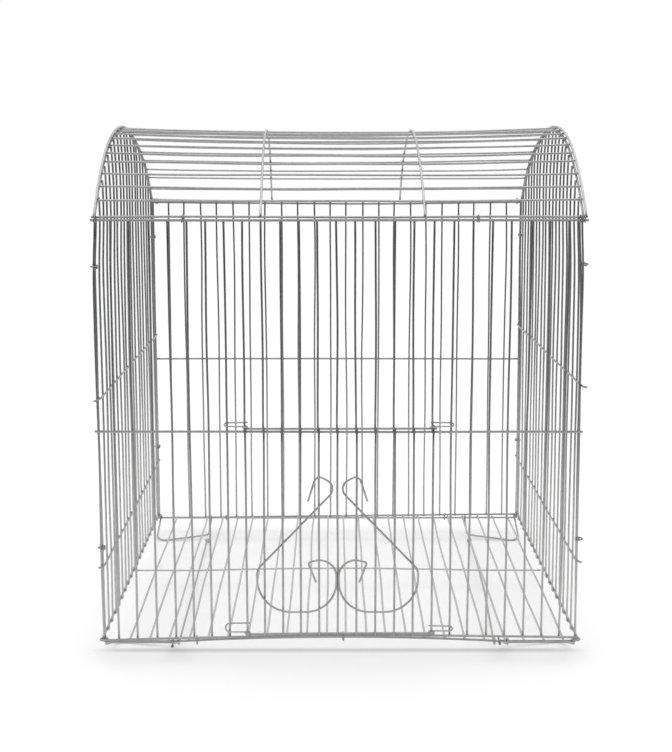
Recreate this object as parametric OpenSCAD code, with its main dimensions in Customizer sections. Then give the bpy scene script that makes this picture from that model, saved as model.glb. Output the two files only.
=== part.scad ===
// Wire rabbit cage: welded wire panels, arched roof, lift-up door, folding wire feet.
// Millimetres, +Z up, front towards -Y. The origin is on the ground under the middle.

/* [Cage] */
// Width over the corner wires
cage_w = 600; // [560:1:640]
// Depth over the corner wires
cage_d = 600; // [560:1:640]
// Height of the front and back panels, rail to rail
panel_h = 526; // [500:1:560]
// Height of the floor rails above the ground
stand_h = 24; // [22:1:30]
// Rise of the arched roof above its eaves
arch_rise = 110; // [90:1:130]

/* [Wire] */
// Wire of the welded mesh
mesh_d = 2.6; // [2.4:0.1:2.8]
// Wire of the rails, hoops, feet and stays
rail_d = 3; // [2.8:0.1:3.2]
// Wire of the clips and the door runners
clip_d = 2; // [1.8:0.1:2.2]
// Wire of the two bottle holders
holder_d = 2.6; // [2.2:0.1:2.8]
// How deep a welded wire sinks into the rail it crosses
weld_bite = 0.4; // [0.3:0.05:0.5]

/* [Mesh] */
// Bays across the back panel
back_bays = 23; // [20:1:26]
// Bays along each side panel
side_bays = 19; // [16:1:22]
// Bays over the arch of the roof
roof_bays = 22; // [18:1:24]
// Wires in the floor
floor_wires = 23; // [22:1:23]
// Distance between floor wires
floor_pitch = 25; // [24:0.5:25]
// Distance of the outer floor wire from the left corner wires
floor_edge = 33; // [33:0.5:35]

/* [Rails] */
// Middle rail of the front and back panels, above their bottom rails
mid_rail_h = 266.8; // [262:0.1:272]
// Upper rail of the side panels above the ground
side_upper_z = 338; // [320:1:350]
// Lower rail of the side panels above the ground
side_lower_z = 142; // [120:1:160]
// Length of the front rails past the corner wires
rail_overhang = 4; // [2:0.5:6]

/* [Door] */
// Free gap between the door and the parts that it slides past
door_gap = 0.7; // [0.65:0.05:0.8]

/* [Feet] */
// Distance between the two legs of a foot
foot_w = 84; // [83:1:85]
// How much shorter the inner leg is
foot_slope = 20; // [12:1:22]
// Angle of the folded feet from straight down
foot_fold = 72; // [68:1:74]

/* [Hidden] */

wire_fn = 32;
bend_fn = 64;
arch_fn = 360;
swell = 1.05;   // a short sleeve this much thicker joins a straight run to a bend
front_bays = 26;
door_first = 8;   // front wires over the doorway, from the left corner
door_last = 18;
steel = "silver";
dark_steel = "darkgray";

half_w = cage_w / 2;
half_d = cage_d / 2;
cross = mesh_d / 2 + rail_d / 2 - weld_bite;   // axis of a rail to the axis of the wires on it

// Levels
floor_z = stand_h;
floor_wire_z = floor_z + cross;
bottom_z = floor_z + 5.2;
top_z = bottom_z + panel_h;
mid_z = bottom_z + mid_rail_h;
seam_z = mid_z - rail_d / 2 - 0.3;   // the lower front wires end here, under the middle rail
wire_foot_z = bottom_z - 1.2;
eave_z = top_z + 4;

// Planes
panel_y = half_d;
rail_y = panel_y + cross;
floor_rail_y = half_d - 3;
side_x = half_w - 2.6;
side_rail_out_x = side_x + cross;
side_rail_in_x = side_x - cross;

// Arch of the roof: a circle through both eave wires and the ridge wire
arch_r = (half_d * half_d + arch_rise * arch_rise) / (2 * arch_rise);
arch_half = asin(half_d / arch_r);
arch_z = eave_z + arch_rise - arch_r;
hoop_r = arch_r + mesh_d / 2 + rail_d / 2 - 0.15;
side_arch_r = arch_r - mesh_d / 2 - rail_d / 2 - 0.3;
hoop_mid_x = 101;

// Door: it slides in front of the middle rail and the wires above it
bay_w = cage_w / front_bays;
door_half_w = (door_last - door_first) / 2 * bay_w;
guide_x = door_half_w + bay_w;
door_y = rail_y + rail_d / 2 + door_gap + mesh_d / 2;
door_rail_d = 2.8;
door_rail_y = door_y - (mesh_d / 2 + door_rail_d / 2 - 0.15);
door_bottom_z = bottom_z + rail_d / 2 + door_rail_d / 2 + door_gap;
door_top_z = mid_z + 4;

// Door runners: hairpins round the two guide wires
runner_reach = mesh_d / 2 + clip_d / 2 + 0.36;
runner_curl_r = door_y - panel_y - runner_reach;
runner_levels = [door_top_z + 2.6, door_top_z + 6.2];
runner_low_left = [door_bottom_z + 3, door_bottom_z + 12.5];
runner_low_right = [door_bottom_z + 2.6, door_bottom_z + 7];

// Bottle holders: one outline, mirrored for the other side
holder_y = door_y + mesh_d / 2 + holder_d / 2 - 0.1;
holder_path = [
    [37, 209], [26, 243], [-1, 228], [101, 121], [99, 66.5], [1.6, 66.5], [1.6, 139],
    [37, 131], [27, 105]
];
holder_bends = [0, 7, 12, 18, 42, 38, 21, 3.5, 0];

// Feet: U-shaped wires whose two eyes turn on the floor rails
eye_r = rail_d + 0.3;
foot_x = half_w - 4;
foot_bend = 14;
foot_bend_in = 8;
foot_tilt = atan(foot_slope / foot_w);
foot_low = (stand_h - rail_d / 2 - eye_r * sin(foot_fold)) / cos(foot_fold);
foot_reach = foot_low + foot_bend * (tan(foot_tilt) + 1 / cos(foot_tilt) - 1);

// Stays: long wires under the floor, from the front floor rail to the back feet
stay_left_x = 204.5;
stay_right_x = 195.5;
stay_l = 519;
stay_drop = 13;
stay_left_splay = 0.83;   // how far each long run turns outwards
stay_right_splay = 1.93;
stay_eye_r = 2.6;

// Clips
corner_ring_r = 4.3;
eave_ring_r = 5;
sill_ring_r = 6.5;
ring_heights_left = [147.5, 499];
ring_heights_right = [158.5, 502];
front_eave_rings = [8 - half_w, -190, 166, half_w - 8];
back_eave_rings = [8 - half_w, half_w - 8];

// The origin sits under the middle of the whole outline, front clips to back rings
front_reach = max(holder_y + holder_d / 2, door_y + runner_curl_r + clip_d / 2);
back_reach = (panel_y + rail_y) / 2 + eave_ring_r + clip_d / 2;
centre_shift = (front_reach - back_reach) / 2;

// Straight wires along each axis
module rod_x(x0, x1, y, z, d = rail_d) {
    translate([x0, y, z]) rotate([0, 90, 0]) cylinder(d = d, h = x1 - x0, $fn = wire_fn);
}

module rod_y(y0, y1, x, z, d = rail_d) {
    translate([x, y0, z]) rotate([-90, 0, 0]) cylinder(d = d, h = y1 - y0, $fn = wire_fn);
}

module rod_z(z0, z1, x, y, d = mesh_d) {
    translate([x, y, z0]) cylinder(d = d, h = z1 - z0, $fn = wire_fn);
}

// Part of a ring in the XY plane, from the +X side, counterclockwise
module ring(r, d, turn = 360) {
    rotate_extrude(angle = turn, $fn = bend_fn)
        translate([r, 0]) circle(d = d, $fn = wire_fn);
}

// Rings that stand across the X axis and the Y axis
module ring_x(r, d, turn = 360, from = 0) {
    rotate([90, 0, 90]) rotate([0, 0, from]) ring(r, d, turn);
}

module ring_y(r, d, turn = 360) {
    rotate([90, 0, 0]) ring(r, d, turn);
}

// Angle of a hair of space along a bend
function hair(r) = 0.05 / r * 180 / PI;

// Bent wire in the XY plane: straight runs through the points, with round bends
function unit(v) = v / norm(v);
function turn_half(p, i) = acos(unit(p[i - 1] - p[i]) * unit(p[i + 1] - p[i])) / 2;
function trim(p, b, i) = i == 0 || i == len(p) - 1 ? 0 : b[i] / tan(turn_half(p, i));
function bend_centre(p, b, i) =
    p[i] + unit(unit(p[i - 1] - p[i]) + unit(p[i + 1] - p[i])) * b[i] / sin(turn_half(p, i));
function turns_left(p, i) = cross_z(p[i] - p[i - 1], p[i + 1] - p[i]) > 0;
function cross_z(u, v) = u[0] * v[1] - u[1] * v[0];

module bent_wire(p, b, d) {
    for (i = [0:len(p) - 2]) {
        along = unit(p[i + 1] - p[i]);
        from = p[i] + along * trim(p, b, i);
        run = norm(p[i + 1] - p[i]) - trim(p, b, i) - trim(p, b, i + 1);
        translate([from[0], from[1], 0])
            rotate([0, 0, atan2(along[1], along[0])]) {
                rotate([0, 90, 0]) translate([0, 0, 0.05])
                    cylinder(d = d, h = run - 0.1, $fn = wire_fn);
                if (i > 0) sleeve_x(d);
                if (i < len(p) - 2) translate([run, 0, 0]) sleeve_x(d);
            }
    }
    for (i = [1:len(p) - 2]) {
        c = bend_centre(p, b, i);
        back = turns_left(p, i) ? unit(p[i - 1] - p[i]) : unit(p[i + 1] - p[i]);
        start = p[i] + back * trim(p, b, i) - c;
        translate([c[0], c[1], 0])
            rotate([0, 0, atan2(start[1], start[0]) + hair(b[i])])
                ring(b[i], d, 180 - 2 * turn_half(p, i) - 2 * hair(b[i]));
    }
}

// Closes the hair of space between two lengths of wire
module sleeve(d) {
    translate([0, 0, -0.4]) cylinder(d = d * swell, h = 0.8, $fn = wire_fn);
}

module sleeve_x(d) {
    rotate([0, 90, 0]) sleeve(d);
}

module centred() {
    translate([0, centre_shift, 0]) children();
}

module on_right() {
    mirror([1, 0, 0]) children();
}

module at_front() {
    mirror([0, 1, 0]) children();
}

// Front panel. Wire numbers run from 0 at the left corner to front_bays at the right.
function front_x(i) = -half_w + i * bay_w;

module front_wires(first, last, z0, z1) {
    for (i = [first:last])
        rod_z(z0, z1, front_x(i), -panel_y);
}

module front_panel_upper() {
    color(steel) centred() {
        front_wires(0, front_bays, seam_z, top_z + 1);
        rod_x(-half_w - rail_overhang, half_w + rail_overhang, -rail_y, top_z);
        rod_x(-half_w - rail_overhang, half_w + rail_overhang, -rail_y, mid_z);
    }
}

module front_sill_rail() {
    color(steel) centred()
        rod_x(-guide_x + bay_w / 2, guide_x - bay_w / 2, -rail_y, bottom_z);
}

// Wires beside the doorway, under the middle rail
module front_panel_side() {
    front_wires(0, door_first - 1, wire_foot_z, seam_z);
    rod_x(-half_w - rail_overhang, -guide_x + bay_w / 2, -rail_y, bottom_z);
}

module front_panel_left() {
    color(steel) centred() front_panel_side();
}

module front_panel_right() {
    color(steel) centred() on_right() front_panel_side();
}

module back_panel() {
    color(steel) centred() {
        for (i = [0:back_bays])
            rod_z(wire_foot_z, top_z + 1, -half_w + i * cage_w / back_bays, panel_y);
        for (z = [bottom_z, mid_z, top_z])
            rod_x(-half_w - 1, half_w + 1, rail_y, z);
    }
}

// Side panel on the left. Its wires rise to an arched top rail under the roof wires.
module side_panel() {
    side_half = side_x;
    for (i = [0:side_bays]) {
        y = -side_half + i * 2 * side_half / side_bays;
        rod_z(wire_foot_z + 1.4, arch_z + sqrt(side_arch_r * side_arch_r - y * y), -side_x, y);
    }
    rod_y(-side_half, side_half, -side_rail_out_x, bottom_z + 1.4);
    for (z = [side_lower_z, side_upper_z])
        rod_y(-side_half, side_half, -side_rail_in_x, z);
    arch_to = asin((side_half - 1) / side_arch_r);
    translate([-side_rail_out_x, 0, arch_z])
        rotate([90, 0, 90])
            rotate([0, 0, 90 - arch_to]) arch(side_arch_r, 2 * arch_to);
}

// Arc of rail wire in the XY plane, from the +X side
module arch(r, turn) {
    rotate_extrude(angle = turn, $fn = arch_fn)
        translate([r, 0]) circle(d = rail_d, $fn = wire_fn);
}

module left_side_panel() {
    color(steel) centred() side_panel();
}

module right_side_panel() {
    color(steel) centred() on_right() side_panel();
}

module floor_panel() {
    color(steel) centred() {
        for (i = [0:floor_wires - 1])
            rod_y(-half_d + 0.5, half_d - 0.5, -half_w + floor_edge + i * floor_pitch,
                floor_wire_z, mesh_d);
        for (y = [-floor_rail_y, floor_rail_y])
            rod_x(-half_w + 0.5, half_w - 0.5, y, floor_z);
        rod_x(-half_w + 3, half_w - 3, 0, floor_wire_z - mesh_d + weld_bite, mesh_d);
    }
}

// Roof
module roof_wires() {
    color(steel) centred()
        for (i = [0:roof_bays]) {
            a = -arch_half + i * 2 * arch_half / roof_bays;
            rod_x(-half_w - 1, half_w + 1, arch_r * sin(a), arch_z + arch_r * cos(a), mesh_d);
        }
}

module roof_hoop(x) {
    color(steel) centred()
        translate([x, 0, arch_z])
            rotate([90, 0, 90])
                rotate([0, 0, 90 - arch_half]) arch(hoop_r, 2 * arch_half);
}

module roof_hoop_left() {
    roof_hoop(-half_w + 0.5);
}

module roof_hoop_mid_left() {
    roof_hoop(-hoop_mid_x);
}

module roof_hoop_mid_right() {
    roof_hoop(hoop_mid_x);
}

module roof_hoop_right() {
    roof_hoop(half_w - 0.5);
}

// Clips. A corner ring holds the corner wires of two panels together.
module corner_rings(heights) {
    for (z = heights)
        translate([-(half_w + side_x) / 2, -(panel_y + side_x) / 2, z])
            ring(corner_ring_r, clip_d);
}

module corner_rings_front() {
    color(dark_steel) centred() {
        corner_rings(ring_heights_left);
        on_right() corner_rings(ring_heights_right);
    }
}

module corner_rings_back() {
    color(dark_steel) centred() at_front() {
        corner_rings(ring_heights_left);
        on_right() corner_rings(ring_heights_right);
    }
}

// An eave ring holds an eave wire of the roof to the top rail of a panel
module eave_rings(places) {
    for (x = places)
        translate([x, -(panel_y + rail_y) / 2, (eave_z + top_z) / 2])
            ring_x(eave_ring_r, clip_d);
}

module roof_rings_front() {
    color(dark_steel) centred() eave_rings(front_eave_rings);
}

module roof_rings_back() {
    color(dark_steel) centred() at_front() eave_rings(back_eave_rings);
}

// A floor ring holds a floor rail to the bottom rail of a panel. It is open at the top.
module sill_rings(places) {
    for (x = places)
        translate([x, -(rail_y + floor_rail_y) / 2, (bottom_z + floor_z) / 2])
            ring_x(sill_ring_r, clip_d, 230, 155);
}

module floor_rings() {
    color(dark_steel) centred() {
        sill_rings([-181, 4, 202]);
        at_front() sill_rings([-186, 178]);
    }
}

// Stay: an eye on the front floor rail, a long run under the floor, a small ring at the back
module stay(x, splay) {
    slope = asin(stay_drop / stay_l);
    color(steel) centred() translate([x, -floor_rail_y, floor_z]) {
        ring_x(eye_r, rail_d, 250 - hair(eye_r), 20);
        rotate([0, 0, splay]) {
            translate([0, 0, -eye_r])
                rotate([-90 - slope, 0, 0]) {
                    sleeve(rail_d);
                    translate([0, 0, 0.05])
                        cylinder(d = rail_d, h = stay_l - 0.05, $fn = wire_fn);
                }
            translate([0, stay_l * cos(slope), -eye_r - stay_drop - stay_eye_r])
                ring_y(stay_eye_r, rail_d - 0.6);
        }
    }
}

module stay_left() {
    stay(-stay_left_x, stay_left_splay);
}

module stay_right() {
    stay(stay_right_x, -stay_right_splay);
}

// Door. Its two outer wires stand a little higher, inside the curls of the upper runners.
module door_wires() {
    color(steel) centred() {
        for (i = [door_first + 1:door_last - 1])
            rod_z(door_bottom_z - 1.8, door_top_z + 1.8, front_x(i), -door_y);
        for (x = [-door_half_w, door_half_w])
            rod_z(door_bottom_z - 1.8, door_top_z + 5.6, x, -door_y);
    }
}

module door_rails() {
    color(steel) centred()
        for (z = [door_bottom_z, door_top_z])
            rod_x(-door_half_w - 2, door_half_w + 2, -door_rail_y, z, door_rail_d);
}

// Runner on the left guide wire: a curl on the outer door wire, then a hairpin round the guide
module door_runner(levels) {
    rise = levels[1] - levels[0];
    r = norm([2 * runner_reach, rise]) / 2;
    front_arm_y = -panel_y - runner_reach;
    back_arm_y = -panel_y + runner_reach;
    color(steel) centred() {
        rod_x(0.05 - guide_x, -door_half_w - 0.05, front_arm_y, levels[0], clip_d);
        rod_x(0.05 - guide_x, 3 - door_half_w, back_arm_y, levels[1], clip_d);
        translate([-guide_x, front_arm_y, levels[0]]) sleeve_x(clip_d);
        translate([-guide_x, back_arm_y, levels[1]]) sleeve_x(clip_d);
        translate([-guide_x, -panel_y, (levels[0] + levels[1]) / 2])
            rotate([atan(rise / (2 * runner_reach)), 0, 0])
                rotate([0, 0, 90 + hair(r)]) ring(r, clip_d, 180 - 2 * hair(r));
        translate([-door_half_w, front_arm_y, levels[0]]) sleeve_x(clip_d);
        translate([-door_half_w, -door_y, levels[0]])
            rotate([0, 0, 180]) ring(runner_curl_r, clip_d, 270 - hair(runner_curl_r));
    }
}

module door_runner_top_left() {
    door_runner(runner_levels);
}

module door_runner_top_right() {
    on_right() door_runner(runner_levels);
}

module door_runner_bottom_left() {
    door_runner(runner_low_left);
}

module door_runner_bottom_right() {
    on_right() door_runner(runner_low_right);
}

// Bottle holder on the right half of the door
module bottle_holder() {
    color(dark_steel) centred()
        translate([0, -holder_y, 0]) rotate([90, 0, 0])
            bent_wire(holder_path, holder_bends, holder_d);
}

module bottle_holder_right() {
    bottle_holder();
}

module bottle_holder_left() {
    on_right() bottle_holder();
}

// Foot at the back left, folded in under the floor
module foot() {
    legs = [
        [0, 0], [0, -foot_reach], [foot_w, foot_slope - foot_reach], [foot_w, 0]
    ];
    color(steel) centred() translate([-foot_x, floor_rail_y, floor_z])
        rotate([-foot_fold, 0, 0]) {
            translate([0, eye_r, 0]) rotate([90, 0, 0])
                bent_wire(legs, [0, foot_bend, foot_bend_in, 0], rail_d);
            for (x = [0, foot_w])
                translate([x, 0, 0]) {
                    ring_x(eye_r, rail_d, 250 - hair(eye_r), hair(eye_r));
                    translate([0, eye_r, 0]) sleeve(rail_d);
                }
        }
}

module foot_back_left() {
    foot();
}

module foot_back_right() {
    on_right() foot();
}

module foot_front_left() {
    centred() at_front() translate([0, -centre_shift, 0]) foot();
}

module foot_front_right() {
    on_right() foot_front_left();
}

front_panel_upper();
front_panel_left();
front_panel_right();
front_sill_rail();
back_panel();
left_side_panel();
right_side_panel();
floor_panel();
roof_wires();
roof_hoop_left();
roof_hoop_mid_left();
roof_hoop_mid_right();
roof_hoop_right();
corner_rings_front();
corner_rings_back();
roof_rings_front();
roof_rings_back();
floor_rings();
stay_left();
stay_right();
door_wires();
door_rails();
door_runner_top_left();
door_runner_top_right();
door_runner_bottom_left();
door_runner_bottom_right();
bottle_holder_left();
bottle_holder_right();
foot_front_left();
foot_front_right();
foot_back_left();
foot_back_right();
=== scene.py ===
# Looks of the wire rabbit cage: every wire is rebuilt as a drawn, slightly uneven steel wire.
import math

import bpy
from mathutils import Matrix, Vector, noise


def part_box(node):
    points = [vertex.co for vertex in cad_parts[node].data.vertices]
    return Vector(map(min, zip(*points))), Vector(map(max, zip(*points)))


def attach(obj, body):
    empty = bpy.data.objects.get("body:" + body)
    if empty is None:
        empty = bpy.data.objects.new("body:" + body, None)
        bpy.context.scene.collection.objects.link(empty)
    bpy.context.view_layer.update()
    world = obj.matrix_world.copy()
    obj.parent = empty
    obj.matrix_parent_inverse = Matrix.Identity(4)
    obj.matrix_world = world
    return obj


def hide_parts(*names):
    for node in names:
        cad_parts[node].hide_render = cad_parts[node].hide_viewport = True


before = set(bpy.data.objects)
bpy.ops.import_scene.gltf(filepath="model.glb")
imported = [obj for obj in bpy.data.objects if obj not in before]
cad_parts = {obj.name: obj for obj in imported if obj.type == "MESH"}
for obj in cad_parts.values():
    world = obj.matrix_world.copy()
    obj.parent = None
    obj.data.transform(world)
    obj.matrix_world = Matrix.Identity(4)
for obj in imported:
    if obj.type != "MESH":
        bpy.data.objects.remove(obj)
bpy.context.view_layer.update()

# ---------------------------------------------------------------- sizes, millimetres
MM = 0.001

MESH_R = 1.34       # wire radii
RAIL_R = 1.5
CLIP_R = 1.0
HOLDER_R = 1.3
ROOF_R = 1.4        # the wires of the roof and the floor look a little thicker than the mesh
DOOR_RAIL_R = 1.4
STAY_R = RAIL_R * 0.93

HALF = 300.0        # half the width and half the depth
PANEL_Y = 300.0     # front and back wires, and the rails outside them
RAIL_Y = 302.4
SIDE_X = 297.4      # side wires, with their rails RAIL_STEP inside and outside
RAIL_STEP = 2.4
BOTTOM_Z = 29.2     # the three rails of the front and back panels
MID_Z = 296.0
TOP_Z = 555.2
FLOOR_Z = 24.0      # the floor's front and back rails
FLOOR_RAIL_Y = 297.0
FLOOR_END_Y = 299.0
SIDE_RAILS = {"left": (125.0, 337.0), "right": (132.0, 354.0)}     # heights of the inner rails

FRONT_WIRES = 27
BACK_WIRES = 24
SIDE_WIRES = 20
FLOOR_WIRES = 23
FLOOR_EDGE = 33     # from the side to the first floor wire
FLOOR_PITCH = 25
BAY = 2 * HALF / (FRONT_WIRES - 1)
DOORWAY = range(8, 19)      # the places of the front wires that stop above the door
WIRE_POINTS = 24    # points along an upright wire

EAVE_Z = TOP_Z + 4
RISE = 110.0        # height of the arch over the eaves
ARCH_R = (HALF * HALF + RISE * RISE) / (2 * RISE)
ARCH_HALF = math.asin(HALF / ARCH_R)
ARCH_Z = EAVE_Z + RISE - ARCH_R
ROOF_BAYS = 22
ROOF_SAG = 6.0      # the long roof wires sag between the end hoops
ROOF_END_X = 301.5
HOOP_X = 299.5
MID_HOOPS = (-101.5, 101.0)

DOOR_Y = 305.9
DOOR_RAIL_Y = 303.35
DOOR_BOTTOM_Z = 32.8
DOOR_TOP_Z = MID_Z + 4
DOOR_HALF = 5 * BAY
HOLDER_Y = DOOR_Y + 2.5

EYE_R = 3.3         # eyes of the feet and stays round the floor rails
FOOT_X = 296        # outer eye of each foot
FOOT_WIDTH = 84
FOOT_RISE = 20      # the inner leg is this much shorter than the outer one
FOOT_FOLD = math.radians(72)
STAY_LENGTH = 519
STAY_DROP = 13

# how the cage is bent
SILL_BOW = 4.0      # the bottom rail and the door bow up a little in the middle
SILL_TILT = 1.7     # and stand a little higher at the right end
FLOOR_BOW = 6.0     # between the feet, the front floor rail springs up towards the sill
FOOT_INNER_X = 205.0
ROOF_LEAN = 9.0     # the top of the arch leans back
LEAN_START_Z = EAVE_Z - 4       # from the top rail up, clear of what the door's runners ride on
LEAN_HASTE = 1.4    # the lean is complete before the ridge
REAR_SPLAY_LEFT = 6.0
REAR_SPLAY_RIGHT = 3.4
EAVE_PINCH = 3.5    # the front corners pinch in near the eaves
PINCH_SPREAD = 45.0
RIDGE_SPLAY = 3.2   # and the end hoops spread at the ridge
CORNER_POWER = 8    # both only near the ends, well clear of the door

# half sizes of the fused lumps where wires cross
FRONT_WELD = (1.75, 1.15, 1.75)
SIDE_WELD = (1.15, 1.75, 1.75)
FLOOR_WELD = (1.75, 1.75, 1.15)
ROOF_WELD = (1.75, 1.6, 1.3)
DOOR_WELD = (1.7, 1.0, 1.7)
WELD_STEP = 1.2     # from a rail's middle to the lump
WIRE_PAST_RAIL = 1.2            # how far a wire's cut end passes its rail

sill_low, sill_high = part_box("front_sill_rail")
SHIFT_Y = (sill_low.y + sill_high.y) / 2 / MM + RAIL_Y


def wave(key, t, size, length):
    """A smooth wander that is the same for the same wire, in millimetres."""
    return size * noise.noise(Vector((t / length, key * 7.31, 3.7)))


def bow(x, half=HALF):
    return max(0.0, 1 - (x / half) ** 2)


def floor_lift(x):
    """The rail stays straight where the feet turn on it."""
    return FLOOR_BOW * bow(x, FOOT_INNER_X)


def unit(v):
    return v.normalized()


def smooth(t):
    t = max(0.0, min(1.0, t))
    return t * t * (3 - 2 * t)


def settle(v):
    """Bends the square cage: the rear splays out, the arch leans back and the front eaves pinch in."""
    rear = (v.y + HALF) / (2 * HALF)
    high = max(0.0, (v.z - BOTTOM_Z) / (TOP_Z - BOTTOM_Z))
    across = v.x / HALF
    if v.x < 0:
        x = v.x + REAR_SPLAY_LEFT * across * rear
    else:
        x = v.x + REAR_SPLAY_RIGHT * across * rear * max(0.0, 1 - high)
    near_eave = math.exp(-((v.z - EAVE_Z) / PINCH_SPREAD) ** 2)
    up = (v.z - LEAN_START_Z) / (EAVE_Z + RISE - LEAN_START_Z)
    corner = math.copysign(across ** CORNER_POWER, across)
    x -= EAVE_PINCH * corner * (1 - rear) ** 2 * near_eave
    x += RIDGE_SPLAY * corner * smooth(up) ** 3
    return x, v.y + ROOF_LEAN * smooth(up * LEAN_HASTE), v.z


# ---------------------------------------------------------------- wires as meshes
class Piece:
    """Collects tubes and welds, then becomes one mesh object that rides on a body."""

    BEVEL_LENGTH = 0.35     # the small bevel at a cut end, in wire radii
    BEVEL_R = 0.68
    LUMP = 0.12             # how uneven a weld is
    WELD_ROWS = 4
    WELD_SIDES = 8

    def __init__(self, name, slot, nodes, body="cage"):
        self.name = name
        self.slot = slot
        self.nodes = nodes
        self.body = body
        self.verts = []
        self.faces = []
        self.mats = []

    def tube(self, points, radius, sides=10, closed=False, mat=0):
        points = [Vector(p) for p in points]
        count = len(points)
        tangents = []
        for i in range(count):
            before = points[i - 1] if (i > 0 or closed) else points[i]
            after = points[(i + 1) % count] if (i < count - 1 or closed) else points[i]
            tangents.append(unit(after - before))
        side = tangents[0].orthogonal().normalized()
        rings = []
        for i in range(count):
            side = unit(side - tangents[i] * side.dot(tangents[i]))
            rings.append((points[i], side.copy(), tangents[i].cross(side), radius))
        if not closed:
            cut = radius * self.BEVEL_LENGTH
            first, last = rings[0], rings[-1]
            rings.insert(0, (first[0], first[1], first[2], radius * self.BEVEL_R))
            rings[1] = (first[0] + tangents[0] * cut, first[1], first[2], radius)
            rings[-1] = (last[0] - tangents[-1] * cut, last[1], last[2], radius)
            rings.append((last[0], last[1], last[2], radius * self.BEVEL_R))
        base = len(self.verts)
        for centre, u, v, r in rings:
            for k in range(sides):
                a = 2 * math.pi * k / sides
                self.verts.append(centre + (u * math.cos(a) + v * math.sin(a)) * r)
        total = len(rings)
        twist = 0
        if closed:
            # turn the last joint so that the ring's sides meet
            u0 = rings[0][1]
            last_u, last_v = rings[-1][1], rings[-1][2]
            angle = math.atan2(u0.dot(last_v), u0.dot(last_u))
            twist = round(angle / (2 * math.pi) * sides)
        for i in range(total if closed else total - 1):
            j = (i + 1) % total
            turn = twist if (closed and j == 0) else 0
            for k in range(sides):
                a = base + i * sides + (k + turn) % sides
                b = base + i * sides + (k + 1 + turn) % sides
                c = base + j * sides + (k + 1) % sides
                d = base + j * sides + k
                self.faces.append((a, b, c, d))
                self.mats.append(mat)
        if not closed:
            self.faces.append(tuple(base + k for k in reversed(range(sides))))
            self.faces.append(tuple(base + (total - 1) * sides + k for k in range(sides)))
            self.mats += [mat, mat]

    def weld(self, at, size, seed=0):
        """A small lump of fused metal where two wires cross."""
        at = Vector(at)
        size = Vector(size)
        base = len(self.verts)
        rows, cols = self.WELD_ROWS, self.WELD_SIDES
        self.verts.append(at + Vector((0, 0, size.z)))
        for i in range(1, rows):
            phi = math.pi * i / rows
            for k in range(cols):
                theta = 2 * math.pi * k / cols
                where = Vector((at.x * 0.37 + k, at.z * 0.41 + i, seed + at.y))
                lump = 1 + self.LUMP * noise.noise(where)
                self.verts.append(at + Vector((
                    size.x * math.sin(phi) * math.cos(theta) * lump,
                    size.y * math.sin(phi) * math.sin(theta) * lump,
                    size.z * math.cos(phi) * lump)))
        self.verts.append(at - Vector((0, 0, size.z)))
        last = len(self.verts) - 1
        for k in range(cols):
            n = (k + 1) % cols
            self.faces.append((base, base + 1 + k, base + 1 + n))
            self.faces.append((last, last - cols + n, last - cols + k))
            self.mats += [1, 1]
        for i in range(rows - 2):
            for k in range(cols):
                n = (k + 1) % cols
                a = base + 1 + i * cols
                self.faces.append((a + k, a + cols + k, a + cols + n, a + n))
                self.mats.append(1)

    def build(self, materials):
        mesh = bpy.data.meshes.new(self.name)
        placed = []
        for v in self.verts:
            x, y, z = settle(v)
            placed.append((x * MM, (y + SHIFT_Y) * MM, z * MM))
        mesh.from_pydata(placed, [], self.faces)
        for m in materials:
            mesh.materials.append(m)
        mesh.polygons.foreach_set("material_index", self.mats)
        # the caps at cut ends have eight sides or more, and stay flat
        mesh.polygons.foreach_set("use_smooth", [len(f) < 7 for f in self.faces])
        mesh.update()
        ob = bpy.data.objects.new(self.name, mesh)
        bpy.context.scene.collection.objects.link(ob)
        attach(ob, self.body)
        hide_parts(*self.nodes)
        return ob


def line(a, b, step):
    a, b = Vector(a), Vector(b)
    count = max(2, int((b - a).length / step) + 1)
    return [a.lerp(b, i / (count - 1)) for i in range(count)]


def rounded(points, radii, step):
    """A path through the points with round corners, one radius per inner point."""
    points = [Vector(p) for p in points]
    out = [points[0]]
    for i in range(1, len(points) - 1):
        p = points[i]
        back = unit(points[i - 1] - p)
        ahead = unit(points[i + 1] - p)
        half = math.acos(max(-1, min(1, back.dot(ahead)))) / 2
        r = radii[i - 1]
        cut = r / math.tan(half)
        centre = p + unit(back + ahead) * (r / math.sin(half))
        start = p + back * cut - centre
        end = p + ahead * cut - centre
        turn = math.pi - 2 * half
        count = max(3, int(turn / math.radians(step)) + 1)
        axis = start.cross(end).normalized()
        for k in range(count + 1):
            a = turn * k / count
            out.append(centre + start * math.cos(a) + axis.cross(start) * math.sin(a))
    out.append(points[-1])
    return thin(out)


LONGEST_RUN = 24


def thin(points, gap=0.15):
    """Drops points that sit on top of each other and splits long runs."""
    out = [points[0]]
    for p in points[1:]:
        d = (p - out[-1]).length
        if d < gap:
            continue
        pieces = int(d / LONGEST_RUN) + 1
        start = out[-1]
        for k in range(1, pieces + 1):
            out.append(start.lerp(p, k / pieces))
    return out


def ring(centre, r, normal, start=0.0, turn=360.0, count=28, rise=0.0):
    """Points of a round bend about the normal; the rise winds it like a spring."""
    centre = Vector(centre)
    normal = unit(Vector(normal))
    up = Vector((0, 0, 1)) if abs(normal.z) < 0.9 else Vector((0, 1, 0))
    u = unit(up.cross(normal))
    v = normal.cross(u)
    closed = turn >= 360 and rise == 0
    n = count if closed else count + 1
    out = []
    for k in range(n):
        t = k / count
        a = math.radians(start + turn * t)
        out.append(centre + (u * math.cos(a) + v * math.sin(a)) * r + normal * rise * (t - 0.5))
    return out


# ---------------------------------------------------------------- materials
def math_node(nt, operation, *values):
    """A math node on sockets and numbers."""
    n = nt.nodes.new("ShaderNodeMath")
    n.operation = operation
    for socket, value in zip(n.inputs, values):
        if isinstance(value, (int, float)):
            socket.default_value = value
        else:
            nt.links.new(value, socket)
    return n.outputs[0]


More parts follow.
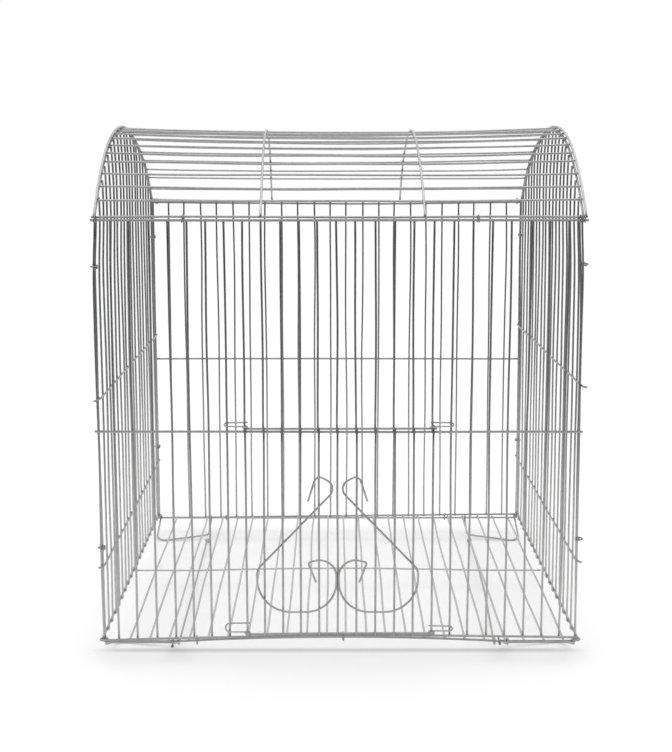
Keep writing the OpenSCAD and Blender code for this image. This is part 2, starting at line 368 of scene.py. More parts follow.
def map_range(nt, source, from_low, from_high, to_low, to_high, soft=False):
    n = nt.nodes.new("ShaderNodeMapRange")
    if soft:
        n.interpolation_type = "SMOOTHSTEP"
    for socket, value in enumerate((from_low, from_high, to_low, to_high), 1):
        n.inputs[socket].default_value = value
    nt.links.new(source, n.inputs[0])
    return n.outputs[0]


def noise_node(nt, place, scale, detail):
    n = nt.nodes.new("ShaderNodeTexNoise")
    n.inputs["Scale"].default_value = scale
    n.inputs["Detail"].default_value = detail
    nt.links.new(place, n.inputs["Vector"])
    return n.outputs[0]


def bump(nt, height, strength, distance, normal=None):
    n = nt.nodes.new("ShaderNodeBump")
    n.inputs["Strength"].default_value = strength
    n.inputs["Distance"].default_value = distance
    nt.links.new(height, n.inputs["Height"])
    if normal:
        nt.links.new(normal, n.inputs["Normal"])
    return n.outputs[0]


SPANGLE_SCALE = 240
PATCH_SCALE = 26
SPECK_SCALE = 900
METALLIC = 0.9


def galvanised(name, tone, dull, warm=0.0, seed=0.0, grime=0.25, painted_low_light=0.0):
    """Zinc-coated steel: spangle, dull patches and small grey specks, with painted light that can
    brighten it towards the floor.
    """
    m = bpy.data.materials.new(name)
    m.use_nodes = True
    nt = m.node_tree
    n = nt.nodes
    link = nt.links.new
    n.clear()
    out = n.new("ShaderNodeOutputMaterial")
    bsdf = n.new("ShaderNodeBsdfPrincipled")
    link(bsdf.outputs[0], out.inputs[0])
    bsdf.inputs["Metallic"].default_value = METALLIC
    bsdf.inputs["Specular IOR Level"].default_value = 0.5
    coord = n.new("ShaderNodeTexCoord")
    shift = n.new("ShaderNodeVectorMath")
    shift.operation = "ADD"
    shift.inputs[1].default_value = (seed, seed * 0.37, seed * 0.71)
    link(coord.outputs["Object"], shift.inputs[0])
    place = shift.outputs[0]

    spangle = n.new("ShaderNodeTexVoronoi")
    spangle.inputs["Scale"].default_value = SPANGLE_SCALE
    link(place, spangle.inputs["Vector"])
    cells = n.new("ShaderNodeSeparateColor")
    link(spangle.outputs["Color"], cells.inputs[0])
    patch = noise_node(nt, place, PATCH_SCALE, 4)
    speck = noise_node(nt, place, SPECK_SCALE, 3)

    ramp = n.new("ShaderNodeValToRGB")
    e = ramp.color_ramp.elements
    e[0].position, e[1].position = 0.28, 0.74
    low, high = tone * 0.88, tone * 1.08
    e[0].color = (low * (1 + warm), low, low * (1 - warm * 0.6), 1)
    e[1].color = (high * (1 + warm * 0.3), high, high * (1 - warm * 0.2), 1)
    patches = math_node(nt, "MULTIPLY", patch, 0.66)
    link(math_node(nt, "MULTIPLY_ADD", cells.outputs[0], 0.35, patches), ramp.inputs[0])

    dark = n.new("ShaderNodeMix")
    dark.data_type = "RGBA"
    dark.inputs[7].default_value = (tone * 0.45, tone * 0.44, tone * 0.42, 1)
    link(map_range(nt, speck, 0.56, 0.72, 0.0, grime), dark.inputs[0])
    link(ramp.outputs[0], dark.inputs[6])
    colour = dark.outputs[2]
    if painted_low_light > 0:
        # painted light: the colour is brightened towards the floor, so the lower wires look lighter
        # than the upper ones
        height = n.new("ShaderNodeSeparateXYZ")
        link(coord.outputs["Object"], height.inputs[0])
        painted_lift = n.new("ShaderNodeVectorMath")
        painted_lift.operation = "SCALE"
        link(colour, painted_lift.inputs[0])
        link(map_range(nt, height.outputs[2], 0.03, 0.4, 1 + painted_low_light, 1.0, soft=True),
             painted_lift.inputs["Scale"])
        colour = painted_lift.outputs[0]
    link(colour, bsdf.inputs["Base Color"])

    link(map_range(nt, patch, 0.25, 0.75, dull - 0.09, dull + 0.12), bsdf.inputs["Roughness"])
    grain = bump(nt, speck, 0.1, 0.00012)
    link(bump(nt, spangle.outputs["Distance"], 0.14, 0.0002, grain), bsdf.inputs["Normal"])
    return m


# painted light and shade: copies of one zinc finish, darker for the upright mesh, sides and door,
# lighter for the rails, roof, hoops and floor
mesh_steel = galvanised("galvanised_mesh", 0.22, 0.34, seed=1.3, grime=0.12, painted_low_light=1.15)
side_steel = galvanised("galvanised_side", 0.3, 0.36, seed=2.6, grime=0.12, painted_low_light=0.95)
rail_steel = galvanised("galvanised_rail", 0.36, 0.34, seed=4.1, grime=0.1, painted_low_light=0.12)
roof_steel = galvanised("galvanised_roof", 0.46, 0.36, seed=5.5, grime=0.1)
hoop_steel = galvanised("galvanised_hoop", 0.5, 0.36, seed=6.2, grime=0.1)
floor_steel = galvanised("galvanised_floor", 0.56, 0.42, seed=8.3, grime=0.1)
door_steel = galvanised("galvanised_door", 0.22, 0.32, seed=7.7, grime=0.12, painted_low_light=1.0)
clip_steel = galvanised("binding_wire", 0.32, 0.4, warm=0.02, seed=9.2, grime=0.2)
holder_steel = galvanised("bent_holder_wire", 0.42, 0.3, warm=0.01, seed=12.4, grime=0.15)
foot_steel = galvanised("floor_worn_wire", 0.46, 0.4, warm=0.02, seed=15.9, grime=0.2)
weld_steel = galvanised("weld_spots", 0.26, 0.48, warm=0.03, seed=21.0, grime=0.3)


# ---------------------------------------------------------------- front panel
RAIL_END_X = 301
SILL_SPLIT_X = 127      # the sill rail passes under the door between these
CORNER_EYE_AT = 298.6
CORNER_EYE_R = 4.4


def front_x(i, z):
    """Front wires stand almost evenly: the middle ones drift left, and the last leans in."""
    high = (z - BOTTOM_Z) / (TOP_Z - BOTTOM_Z)
    if i == 0:
        drift = 1.5
    elif i in (1, 2):
        drift = -2.2
    elif i == FRONT_WIRES - 1:
        drift = -3.0 - 6.0 * high
    else:
        drift = -4.0 * math.exp(-((i - 12.5) / 5.5) ** 2) * (0.7 + 0.5 * high)
    return -HALF + i * BAY + drift + wave(i, z, 1.6, 170)


def front_wire(i, z0, z1):
    count = max(4, int((z1 - z0) / LONGEST_RUN))
    out = []
    for k in range(count + 1):
        z = z0 + (z1 - z0) * k / count
        out.append((front_x(i, z), -PANEL_Y + wave(i + 40, z, 0.7, 160), z))
    return out


def wire_top(i):
    """The front wires are cut a little unevenly above the top rail."""
    return TOP_Z + 1.0 + wave(i, 9, 1.0, 3)


def cross_rail(y, z, x0, x1, key):
    count = int((x1 - x0) / 20)
    out = []
    for k in range(count + 1):
        x = x0 + (x1 - x0) * k / count
        out.append((x, y + wave(key + 3, x, 0.5, 220), z + wave(key, x, 0.8, 200)))
    return out


def sill_z(x):
    return BOTTOM_Z + SILL_BOW * bow(x) + SILL_TILT * x / HALF


def sill(x0, x1):
    count = int((x1 - x0) / 18)
    out = []
    for k in range(count + 1):
        x = x0 + (x1 - x0) * k / count
        out.append((x, -RAIL_Y + wave(60, x, 0.5, 220), sill_z(x) + wave(61, x, 0.6, 190)))
    return out


def corner_eye(sx, sy):
    """The closed loop at a lower corner, where the rail end is bent round the corner wires."""
    return ring((sx * CORNER_EYE_AT, sy * CORNER_EYE_AT, BOTTOM_Z - 2.0), CORNER_EYE_R, (0, 0, 1))


def build_front():
    upper = Piece("front_panel_upper_wires", "mesh_wire", ["front_panel_upper"])
    for i in DOORWAY:
        upper.tube(front_wire(i, MID_Z - 1.8, wire_top(i)), MESH_R)
    upper.tube(cross_rail(-RAIL_Y, TOP_Z, -305, 302.5, 50), RAIL_R + 0.1, mat=2)
    upper.tube(cross_rail(-RAIL_Y, MID_Z, -302.5, 299, 51), RAIL_R, mat=2)
    for i in range(FRONT_WIRES):
        for z in (TOP_Z, MID_Z):
            upper.weld((front_x(i, z), -RAIL_Y + WELD_STEP, z), FRONT_WELD, i)
    upper.build([mesh_steel, weld_steel, rail_steel])
    for side, sx, wires in (("left", -1, range(DOORWAY.start)),
                            ("right", 1, range(DOORWAY.stop, FRONT_WIRES))):
        p = Piece(f"front_panel_{side}_wires", "mesh_wire", [f"front_panel_{side}"])
        for i in wires:
            low = sill_z(-HALF + i * BAY) - WIRE_PAST_RAIL
            p.tube(front_wire(i, low, wire_top(i)), MESH_R)
            x = front_x(i, BOTTOM_Z)
            p.weld((x, -RAIL_Y + WELD_STEP, sill_z(x)), FRONT_WELD, i)
        p.tube(sill(*sorted((sx * RAIL_END_X, sx * SILL_SPLIT_X))), RAIL_R, mat=2)
        p.tube(corner_eye(sx, -1), RAIL_R, closed=True, mat=2)
        p.build([mesh_steel, weld_steel, rail_steel])
    middle = Piece("front_sill_wire", "rail_wire", ["front_sill_rail"])
    middle.tube(sill(-SILL_SPLIT_X, SILL_SPLIT_X), RAIL_R)
    middle.build([rail_steel])


# ---------------------------------------------------------------- back panel
BACK_SILL_DROP = 3.5
BACK_SILL_TILT = 3.0
BACK_TOP_SAG = 2.5


def back_place(i):
    return -HALF + i * 2 * HALF / (BACK_WIRES - 1)


def back_x(i, z):
    high = (z - BOTTOM_Z) / (TOP_Z - BOTTOM_Z)
    return back_place(i) + wave(i + 80, z, 2.6, 190) * (0.4 + 0.6 * high)


def back_rail_z(level, x):
    """The bottom rail is lowest at its left end, and the top rail sags."""
    if level == BOTTOM_Z:
        return BOTTOM_Z - BACK_SILL_DROP + BACK_SILL_TILT * x / HALF
    return level - (BACK_TOP_SAG * bow(x) if level == TOP_Z else 0.0)


def build_back():
    p = Piece("back_panel_wires", "mesh_wire", ["back_panel"])
    for i in range(BACK_WIRES):
        low = back_rail_z(BOTTOM_Z, back_place(i)) - WIRE_PAST_RAIL
        path = []
        for k in range(WIRE_POINTS):
            z = low + (TOP_Z + 1.0 - low) * k / (WIRE_POINTS - 1)
            path.append((back_x(i, z), PANEL_Y + wave(i + 110, z, 0.8, 170), z))
        p.tube(path, MESH_R)
        for z in (BOTTOM_Z, MID_Z, TOP_Z):
            x = back_x(i, z)
            p.weld((x, RAIL_Y - WELD_STEP, back_rail_z(z, x)), FRONT_WELD, i)
    for level, key in ((BOTTOM_Z, 130), (MID_Z, 131), (TOP_Z, 132)):
        rail = [(x, y, z + back_rail_z(level, x) - level)
                for x, y, z in cross_rail(RAIL_Y, level, -RAIL_END_X, RAIL_END_X, key)]
        p.tube(rail, RAIL_R, mat=2)
    for sx in (-1, 1):
        p.tube(corner_eye(sx, 1), RAIL_R, closed=True, mat=2)
    p.build([mesh_steel, weld_steel, rail_steel])


# ---------------------------------------------------------------- side panels
SIDE_ARCH_R = ARCH_R - MESH_R - RAIL_R - 0.3
SIDE_RAIL_Z = BOTTOM_Z + 1.4
SIDE_FRONT_LEAN = 3.0
CURL_R = 2.6
CURL = (95, 72, 48, 24, 0, -24, -48, -70)       # degrees round the bottom rail
# out from the inner rail, towards the front and down
HOOK = ((0.6, 0.8, 0.2), (2.2, 4.4, 1.0), (5.2, 6.2, 2.2), (7.4, 4.0, 3.0))


def side_lean(s, y, z):
    """The right panel leans in towards the roof at its front edge."""
    if s < 0:
        return 0.0
    high = max(0.0, (z - BOTTOM_Z) / (TOP_Z - BOTTOM_Z))
    return -SIDE_FRONT_LEAN * high * max(0.0, (SIDE_X - y) / (2 * SIDE_X)) ** 2


def side_wire(s, i, y, top):
    key = 150 + i + (30 if s > 0 else 0)
    foot = SIDE_RAIL_Z + 3
    if i in (0, SIDE_WIRES - 1):
        path = [(s * SIDE_X, y, SIDE_RAIL_Z - WIRE_PAST_RAIL)]
    else:
        # the lower end curls out round the bottom rail
        path = [(s * (SIDE_X + RAIL_STEP + CURL_R * math.sin(a)), y, SIDE_RAIL_Z - CURL_R * math.cos(a))
                for a in [math.radians(d) for d in CURL]]
    for k in range(WIRE_POINTS):
        z = foot + (top - foot) * k / (WIRE_POINTS - 1)
        settled = min(1.0, k / 3)
        path.append((s * (SIDE_X + side_lean(s, y, z) + wave(key, z, 1.0, 150) * settled),
                     y + wave(key + 60, z, 2.4, 180) * settled, z))
    return path


def build_side(side):
    s = -1 if side == "left" else 1
    p = Piece(f"{side}_side_panel_wires", "mesh_wire", [f"{side}_side_panel"])
    out_x = SIDE_X + RAIL_STEP
    in_x = SIDE_X - RAIL_STEP
    for i in range(SIDE_WIRES):
        y = -SIDE_X + i * 2 * SIDE_X / (SIDE_WIRES - 1)
        top = ARCH_Z + math.sqrt(SIDE_ARCH_R ** 2 - y * y)
        p.tube(side_wire(s, i, y, top), MESH_R)
        for z, x in ((top - 1.6, out_x), (SIDE_RAILS[side][0], in_x), (SIDE_RAILS[side][1], in_x)):
            p.weld((s * ((x + SIDE_X) / 2 + side_lean(s, y, z)), y, z), SIDE_WELD, i)
    p.tube([(s * out_x, -SIDE_X + 2 * SIDE_X * k / 24,
             SIDE_RAIL_Z + wave(s + 211, k * 25, 0.8, 160)) for k in range(25)], RAIL_R, mat=2)
    # the inner rails; each front end hooks round the corner wires
    for level, z in enumerate(SIDE_RAILS[side]):
        run = [(s * in_x, SIDE_X - 1 - (2 * SIDE_X - 6) * k / 24,
                z + wave(s + 220 + level, k * 25, 1.0, 150)) for k in range(25)]
        hook = [(s * (in_x + out), -SIDE_X - ahead, z - down) for out, ahead, down in HOOK]
        p.tube(thin([Vector(v) for v in run + hook], 0.3), MESH_R, mat=2)
    half = math.asin((SIDE_X - 1) / SIDE_ARCH_R)
    arch = []
    for k in range(41):
        a = -half + 2 * half * k / 40
        y, z = SIDE_ARCH_R * math.sin(a), ARCH_Z + SIDE_ARCH_R * math.cos(a)
        arch.append((s * (out_x + side_lean(s, y, z)), y, z))
    p.tube(arch, RAIL_R, mat=2)
    p.build([side_steel, weld_steel, rail_steel])


# ---------------------------------------------------------------- floor
def build_floor():
    p = Piece("floor_panel_wires", "mesh_wire", ["floor_panel"])
    depth = 2 * FLOOR_END_Y
    for i in range(FLOOR_WIRES):
        x0 = -HALF + FLOOR_EDGE + i * FLOOR_PITCH
        path = []
        for k in range(25):
            y = -FLOOR_END_Y + depth * k / 24
            lift = floor_lift(x0) * (1 - (y + FLOOR_END_Y) / depth)
            path.append((x0 + wave(240 + i, y, 1.8, 200), y,
                         FLOOR_Z + 2.3 + lift + wave(270 + i, y, 0.6, 150)))
        p.tube(path, ROOF_R)
        p.weld((path[0][0], -FLOOR_RAIL_Y, FLOOR_Z + 1.3 + floor_lift(x0)), FLOOR_WELD, i)
        p.weld((path[-1][0], FLOOR_RAIL_Y, FLOOR_Z + 1.3), FLOOR_WELD, i)
    front = []
    for k in range(31):
        x = -FLOOR_END_Y + depth * k / 30
        front.append((x, -FLOOR_RAIL_Y, FLOOR_Z + floor_lift(x) + wave(300, k * 20, 0.5, 150)))
    p.tube(front, RAIL_R, mat=2)
    p.tube(cross_rail(FLOOR_RAIL_Y, FLOOR_Z, -FLOOR_END_Y, FLOOR_END_Y, 301), RAIL_R, mat=2)
    # one cross wire under the middle
    p.tube([(x, wave(303, x, 1.2, 150), FLOOR_Z + 0.3 + floor_lift(x) * 0.5)
            for x in [-FLOOR_RAIL_Y + 2 * FLOOR_RAIL_Y * k / 26 for k in range(27)]], MESH_R)
    p.build([floor_steel, weld_steel, rail_steel])


# ---------------------------------------------------------------- roof
def roof_drop(x, a):
    """Long roof wires sag between the end hoops, most of all near the ridge."""
    return -ROOF_SAG * bow(x) * math.cos(a / ARCH_HALF * math.pi / 2) ** 0.8


def hoop_x(side, a):
    """The two middle hoops; the left one runs off towards the back."""
    back = math.sin(a) / math.sin(ARCH_HALF)
    return MID_HOOPS[0] - 5.3 * back if side < 0 else MID_HOOPS[1] - 0.6 * back


def build_roof():
    p = Piece("roof_straight_wires", "mesh_wire", ["roof_wires"])
    for i in range(ROOF_BAYS + 1):
        inner = 0 < i < ROOF_BAYS
        a0 = -ARCH_HALF + 2 * ARCH_HALF * i / ROOF_BAYS
        if inner:
            a0 += 0.004 * math.sin(i * 2.1)
        path = []
        for k in range(31):
            x = -ROOF_END_X + 2 * ROOF_END_X * k / 30
            if i == 0 and k == 0:
                x -= 2.5        # the front eaves wire stands out at the left
            a = a0 + wave(320 + i, x, 0.0035, 260) * (1 if inner else 0.2)
            z = ARCH_Z + ARCH_R * math.cos(a) + roof_drop(x, a0) + wave(350 + i, x, 1.2, 170)
            if i == ROOF_BAYS:
                z -= BACK_TOP_SAG * bow(x)
            path.append((x, ARCH_R * math.sin(a), z))
        p.tube(path, ROOF_R)
        at = Vector((0, math.sin(a0), math.cos(a0))) * (ARCH_R + 1.3)
        for x in (-HOOP_X, hoop_x(-1, a0), hoop_x(1, a0), HOOP_X):
            p.weld((x, at.y, ARCH_Z + at.z + roof_drop(x, a0)), ROOF_WELD, i)
    p.build([roof_steel, weld_steel])
    r = ARCH_R + ROOF_R + RAIL_R - 0.3
    for name, x in (("roof_hoop_left", -HOOP_X), ("roof_hoop_mid_left", MID_HOOPS[0]),
                    ("roof_hoop_mid_right", MID_HOOPS[1]), ("roof_hoop_right", HOOP_X)):
        hoop = Piece(f"{name}_wire", "rail_wire", [name])
        path = []
        for k in range(61):
            a = -ARCH_HALF + 2 * ARCH_HALF * k / 60
            at = hoop_x(x, a) if x in MID_HOOPS else x
            path.append((at + wave(x, a * 400, 0.8, 200), r * math.sin(a),
                         ARCH_Z + r * math.cos(a) + roof_drop(x, a)))
        hoop.tube(path, RAIL_R, sides=12)
        hoop.build([hoop_steel])


# ---------------------------------------------------------------- binding wire
CORNER_RINGS = ((-1, (147.5, 499.0)), (1, (158.5, 502.0)))     # side and heights
THICK_RING_X = 294      # one eaves corner is bound thickly
EAVE_RINGS = (("roof_rings_front", -1, (-299, -190, 166, THICK_RING_X)),
              ("roof_rings_back", 1, (-292, 292)))
FLOOR_RINGS = ((-1, (-181, 4, 202)), (1, (-186, 178)))
FLOOR_RING_R = 6.4


def wrap(piece, centre, r, normal, start, turns, rise, tail):
    """Soft wire wound round two rods, with its two ends left standing."""
    path = ring(centre, r, normal, start, 360 * turns, int(26 * turns), rise)
    centre = Vector(centre)
    first = path[0] + unit(path[0] - centre) * tail * 0.35 + unit(path[0] - path[1]) * tail
    last = path[-1] + unit(path[-1] - centre) * tail * 0.35 + unit(path[-1] - path[-2]) * tail
    piece.tube(thin([first] + path + [last], 0.2), CLIP_R * 0.9, sides=8)


def build_clips():
    for name, sy in (("corner_rings_front", -1), ("corner_rings_back", 1)):
        p = Piece(f"{name}_wire", "clip_wire", [name])
        for sx, heights in CORNER_RINGS:
            for z in heights:
                # the front right corner wire leans in near the top
                dx = -2.2 if (sx > 0 and sy < 0 and z > MID_Z) else 0
                wrap(p, (sx * 298.7 + dx, sy * 298.7, z), 4.3, (0, 0, 1), 70 * sx, 1.5, 4.0, 1.6)
        p.build([clip_steel])
    for name, sy, places in EAVE_RINGS:
        p = Piece(f"{name}_wire", "clip_wire", [name])
        for x in places:
            turns, width = (3.2, 7.5) if x == THICK_RING_X else (1.3, 3.0)
            wrap(p, (x, sy * 301.15, EAVE_Z - 2), 4.2, (1, 0, 0), 200, turns, width, 1.2)
        p.build([clip_steel])
    p = Piece("floor_rings_wire", "clip_wire", ["floor_rings"])
    for sy, places in FLOOR_RINGS:
        for x in places:
            lift = floor_lift(x) if sy < 0 else 0
            path = []
            for k in range(19):
                a = math.radians(155 + 230 * k / 18)
                path.append((x + 1.6 * (k / 18 - 0.5),
                             sy * 299.65 + sy * FLOOR_RING_R * math.cos(a),
                             26.6 + lift + FLOOR_RING_R * math.sin(a)))
            p.tube(path, CLIP_R, sides=8)
    p.build([clip_steel])


# ---------------------------------------------------------------- door
RUNNER_REACH = 2.66     # from the guide wire's middle to the runner's


def door_x(i, z):
    return -HALF + i * BAY - 3.2 * math.exp(-((i - 12) / 4.5) ** 2) + wave(i + 400, z, 0.9, 140)


def door_lift(x):
    return SILL_BOW * bow(x) + SILL_TILT * x / HALF


def build_door():
    p = Piece("door_panel_wires", "door_wire", ["door_wires", "door_rails"], "door")
    first, last = DOORWAY[0], DOORWAY[-1]
    for i in DOORWAY:
        lift = door_lift(-HALF + i * BAY)
        top = DOOR_TOP_Z + (5.4 if i in (first, last) else 1.8)
        low = DOOR_BOTTOM_Z - 1.8 + lift
        path = []
        for k in range(14):
            z = low + (top - low) * k / 13
            path.append((door_x(i, z), -DOOR_Y + wave(i + 430, z, 0.3, 120), z))
        p.tube(path, MESH_R)
        p.weld((door_x(i, top), -DOOR_Y + 1.0, DOOR_TOP_Z), DOOR_WELD, i)
        p.weld((door_x(i, low), -DOOR_Y + 1.0, DOOR_BOTTOM_Z + lift), DOOR_WELD, i)
    reach = DOOR_HALF + 4
    for z, arch in ((DOOR_BOTTOM_Z, 1.0), (DOOR_TOP_Z, 0.0)):
        p.tube([(x, -DOOR_RAIL_Y, z + door_lift(x) * arch + wave(460 + z, x, 0.2, 90))
                for x in [-reach + 2 * reach * k / 24 for k in range(25)]], DOOR_RAIL_R, mat=2)
    p.build([door_steel, weld_steel, rail_steel])
    for place, low, rises, arch in (("top", DOOR_TOP_Z + 2.6, (3.6, 3.6), 0.0),
                                    ("bottom", DOOR_BOTTOM_Z + 2.8, (9.5, 4.4), 1.0)):
        for side, s, rise in (("left", -1, rises[0]), ("right", 1, rises[1])):
            name = f"door_runner_{place}_{side}"
            p = Piece(f"{name}_wire", "clip_wire", [name], "door")
            lift = door_lift(s * DOOR_HALF) * arch
            guide = front_x(first - 1 if s < 0 else last + 1, low)
            outer = door_x(first if s < 0 else last, low)
            p.tube(thin(runner(s, guide, outer, low + lift, low + rise + lift), 0.2), CLIP_R)
            p.build([foot_steel])


def runner(s, guide, outer, low, high):
    """Curl round the outer door wire, arm to the guide, bend round it, and arm back."""
    mid = (low + high) / 2
    rise = (high - low) / 2
    r = math.hypot(RUNNER_REACH, rise)
    curl_r = DOOR_Y - PANEL_Y - RUNNER_REACH
    path = []
    for k in range(19):
        a = math.radians(270 - 270 * k / 18)
        path.append(Vector((outer - s * curl_r * math.sin(a), -DOOR_Y + curl_r * math.cos(a), low)))
    path += line(path[-1], (guide, -PANEL_Y - RUNNER_REACH, low), 6)[1:]
    tilt = Vector((0, RUNNER_REACH, rise)).normalized()
    for k in range(1, 17):
        a = math.pi * k / 16
        path.append(Vector((guide, -PANEL_Y, mid)) - tilt * r * math.cos(a)
                    + Vector((s, 0, 0)) * r * math.sin(a))
    path += line(path[-1], (outer - s * 3, -PANEL_Y + RUNNER_REACH, high + 0.5), 6)[1:]
    return path


# across and up, from the upper hook's tip to the lower curl's tip
HOLDER = ((37, 209), (26, 243), (-1, 228), (101, 121), (99, 66.5), (1.6, 66.5), (1.6, 139),
          (37, 131), (27, 105))
HOLDER_BENDS = [7, 12, 18, 42, 38, 21, 3.5]
HOLDER_SHIFT = -3.2     # both holders hang a little to the left of the middle


def build_holders():
    for side, s in (("left", -1), ("right", 1)):
        name = f"bottle_holder_{side}"
        p = Piece(f"{name}_wire", "holder_wire", [name], "door")
        path = rounded([(s * x + HOLDER_SHIFT, -HOLDER_Y, z) for x, z in HOLDER], HOLDER_BENDS, 6)
        p.tube(path, HOLDER_R, sides=12)
        p.build([holder_steel])


# ---------------------------------------------------------------- feet and stays
FOOT_BENDS = (14, 8)
# name, x of the eye, x of the far end, and how far it bows sideways
STAYS = (("stay_left", -204.5, -212.0, 0.0), ("stay_right", 195.5, 213.0, 3.5))


def build_foot(place, side):
    sx = -1 if side == "left" else 1
    sy = -1 if place == "front" else 1
    name = f"foot_{place}_{side}"
    p = Piece(f"{name}_wire", "foot_wire", [name], name)

    def put(x, y, z):
        """From the hanging foot to its folded place."""
        fy = y * math.cos(FOOT_FOLD) + z * math.sin(FOOT_FOLD)
        fz = -y * math.sin(FOOT_FOLD) + z * math.cos(FOOT_FOLD)
        return Vector((sx * (FOOT_X - x), sy * (FLOOR_RAIL_Y + fy), FLOOR_Z + fz))

    def eye_path(x):
        turns = [math.radians(250 * k / 16) for k in range(17)]
        return [put(x, EYE_R * math.cos(a), EYE_R * math.sin(a)) for a in turns]

    # long enough for the folded foot's lowest bend to touch the ground
    low = (FLOOR_Z - RAIL_R - EYE_R * math.sin(FOOT_FOLD)) / math.cos(FOOT_FOLD)
    slope = math.atan(FOOT_RISE / FOOT_WIDTH)
    reach = low + FOOT_BENDS[0] * (math.tan(slope) + 1 / math.cos(slope) - 1)
    legs = rounded([put(0, EYE_R, 0), put(0, EYE_R, -reach),
                    put(FOOT_WIDTH, EYE_R, FOOT_RISE - reach), put(FOOT_WIDTH, EYE_R, 0)],
                   FOOT_BENDS, 8)
    path = eye_path(0)[::-1][:-1] + legs + eye_path(FOOT_WIDTH)[1:]
    p.tube(thin(path, 0.2), RAIL_R, sides=12)
    if name == "foot_front_left":
        # the cut end of the inner eye is curled under
        p.tube(ring((-212.5, -300.0, FLOOR_Z - 5.6), 1.1, (0, 1, 0), count=14), 1.0,
               sides=8, closed=True, mat=1)
    p.build([foot_steel, weld_steel])


def build_stay(name, x, end_x, curve):
    """An eye on the front floor rail, a long run to the back, and a small ring."""
    p = Piece(f"{name}_wire", "foot_wire", [name])
    path = []
    for k in range(17):
        a = math.radians(20 + 250 * k / 16)
        path.append(Vector((x, -FLOOR_RAIL_Y + EYE_R * math.cos(a), FLOOR_Z + EYE_R * math.sin(a))))
    for k in range(1, 25):
        t = k / 24
        path.append(Vector((x + (end_x - x) * t + curve * math.sin(math.pi * t)
                            + wave(x, t * 500, 0.6, 160),
                            -FLOOR_RAIL_Y + STAY_LENGTH * t, FLOOR_Z - EYE_R - STAY_DROP * t)))
    end = path[-1] + Vector((0, 0.6, -2.6))
    for k in range(1, 17):
        a = math.radians(90 - 330 * k / 16)
        path.append(end + Vector((2.6 * math.cos(a), 0.8 * k / 16, 2.6 * math.sin(a))))
    p.tube(thin(path, 0.3), STAY_R, sides=12)
    p.build([foot_steel])


build_front()
build_back()
build_side("left")
build_side("right")
build_floor()
build_roof()
build_clips()
build_door()
build_holders()
for foot_place in ("front", "back"):
    for foot_side in ("left", "right"):
        build_foot(foot_place, foot_side)
for stay in STAYS:
    build_stay(*stay)


# ---------------------------------------------------------------- studio, metres
FLOOR_TONE = 0.93
FLOOR_GLOW = 0.11
FRONT_SHADE = (-0.264, 0.012, 0.32)     # place along Y, width and depth of a painted shadow band
BACK_SHADE = (0.25, 0.03, 0.07)
SHADE_FADE = (0.26, 0.34)               # the bands fade out at the cage's sides


def shade_band(nt, along, across, centre, width, depth):
    """Painted shadow: a soft grey band on the floor, as wide as the cage, where the rails block the
    lights.
    """
    off = math_node(nt, "ABSOLUTE", math_node(nt, "SUBTRACT", along, centre))
    side = math_node(nt, "ABSOLUTE", across)
    both = math_node(nt, "MULTIPLY", map_range(nt, off, 0.0, width, 1.0, 0.0, soft=True),
                     map_range(nt, side, *SHADE_FADE, 1.0, 0.0, soft=True))
    return math_node(nt, "MULTIPLY_ADD", both, -depth, 1.0)


def studio_floor():
    mesh = bpy.data.meshes.new("studio_floor")
    mesh.from_pydata([(-6, -1.9, 0), (6, -1.9, 0), (6, 8, 0), (-6, 8, 0)], [], [(0, 1, 2, 3)])
    ob = bpy.data.objects.new("studio_floor", mesh)
    bpy.context.scene.collection.objects.link(ob)
    m = bpy.data.materials.new("pale_floor")
    m.use_nodes = True
    nt = m.node_tree
    bsdf = nt.nodes["Principled BSDF"]
    bsdf.inputs["Roughness"].default_value = 0.9
    bsdf.inputs["Specular IOR Level"].default_value = 0.0
    bsdf.inputs["Emission Strength"].default_value = FLOOR_GLOW
    coord = nt.nodes.new("ShaderNodeTexCoord")
    place = nt.nodes.new("ShaderNodeSeparateXYZ")
    nt.links.new(coord.outputs["Object"], place.inputs[0])
    # painted shadow: the bands darken both the floor's colour and its glow
    bands = [shade_band(nt, place.outputs[1], place.outputs[0], *band)
             for band in (FRONT_SHADE, BACK_SHADE)]
    tone = math_node(nt, "MULTIPLY", *bands)
    white = nt.nodes.new("ShaderNodeCombineColor")
    for channel in range(3):
        nt.links.new(tone, white.inputs[channel])
    paint = nt.nodes.new("ShaderNodeVectorMath")
    paint.operation = "SCALE"
    paint.inputs["Scale"].default_value = FLOOR_TONE
    nt.links.new(white.outputs[0], paint.inputs[0])
    nt.links.new(paint.outputs[0], bsdf.inputs["Base Color"])
    nt.links.new(white.outputs[0], bsdf.inputs["Emission Color"])
    mesh.materials.append(m)


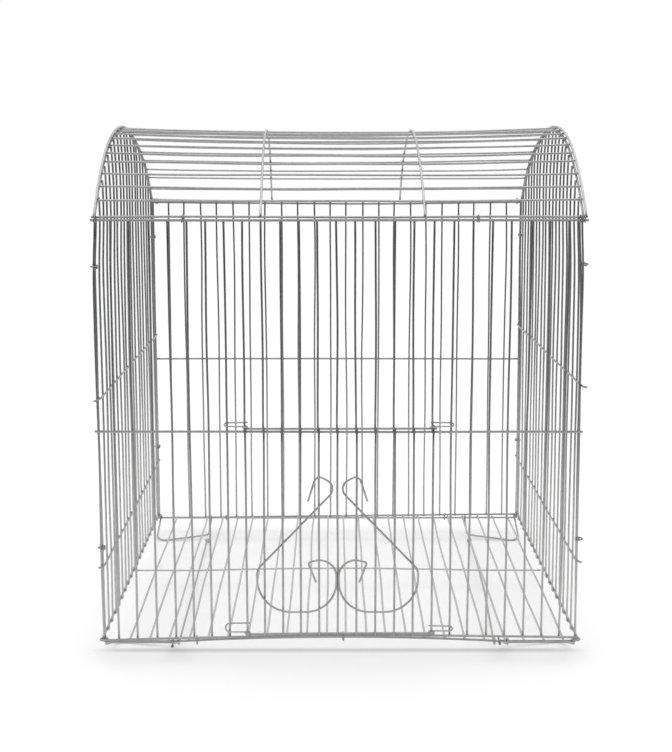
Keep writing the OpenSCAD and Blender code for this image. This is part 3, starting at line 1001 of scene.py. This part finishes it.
def area(name, at, look, size, power):
    light = bpy.data.lights.new(name, "AREA")
    light.shape = "RECTANGLE"
    light.size, light.size_y = size
    light.energy = power
    ob = bpy.data.objects.new(name, light)
    ob.location = at
    ob.rotation_euler = (Vector(look) - Vector(at)).to_track_quat("-Z", "Y").to_euler()
    bpy.context.scene.collection.objects.link(ob)


def sky():
    """A white studio: bright above and behind, darker towards the open front of the room."""
    world = bpy.data.worlds.new("studio")
    bpy.context.scene.world = world
    world.use_nodes = True
    nt = world.node_tree
    n = nt.nodes
    link = nt.links.new
    n.clear()
    out = n.new("ShaderNodeOutputWorld")
    coord = n.new("ShaderNodeTexCoord")
    parts = n.new("ShaderNodeSeparateXYZ")
    link(coord.outputs["Generated"], parts.inputs[0])
    back = map_range(nt, parts.outputs[1], -0.2, 0.9, 0.1, 1.0, soft=True)
    up = map_range(nt, parts.outputs[2], 0.12, 0.75, 0.0, 1.15, soft=True)
    room = n.new("ShaderNodeBackground")
    link(math_node(nt, "MAXIMUM", back, up), room.inputs["Strength"])
    seen = n.new("ShaderNodeBackground")
    seen.inputs["Strength"].default_value = 1.0
    path = n.new("ShaderNodeLightPath")
    mix = n.new("ShaderNodeMixShader")
    link(path.outputs["Is Camera Ray"], mix.inputs[0])
    link(room.outputs[0], mix.inputs[1])
    link(seen.outputs[0], mix.inputs[2])
    link(mix.outputs[0], out.inputs[0])
    for node in (room, seen):
        node.inputs["Color"].default_value = (1, 1, 1, 1)


CAMERA_AT = (-0.0078, -1.9555, 0.6359)
CAMERA_DOWN = 9.288     # degrees below level
CAMERA_TURN = -0.09
LENS = 73.31

studio_floor()
sky()
area("overhead", (0, 0.3, 2.6), (0, 0, 0), (2.6, 2.2), 8)

cam = bpy.data.cameras.new("camera")
cam.sensor_fit = "HORIZONTAL"
cam.sensor_width = 36
cam.lens = LENS
view = bpy.data.objects.new("camera", cam)
view.location = (CAMERA_AT[0], CAMERA_AT[1] + SHIFT_Y * MM, CAMERA_AT[2])
view.rotation_euler = (math.radians(90 - CAMERA_DOWN), 0, math.radians(CAMERA_TURN))
bpy.context.scene.collection.objects.link(view)
bpy.context.scene.camera = view
bpy.context.scene.view_settings.view_transform = "Standard"
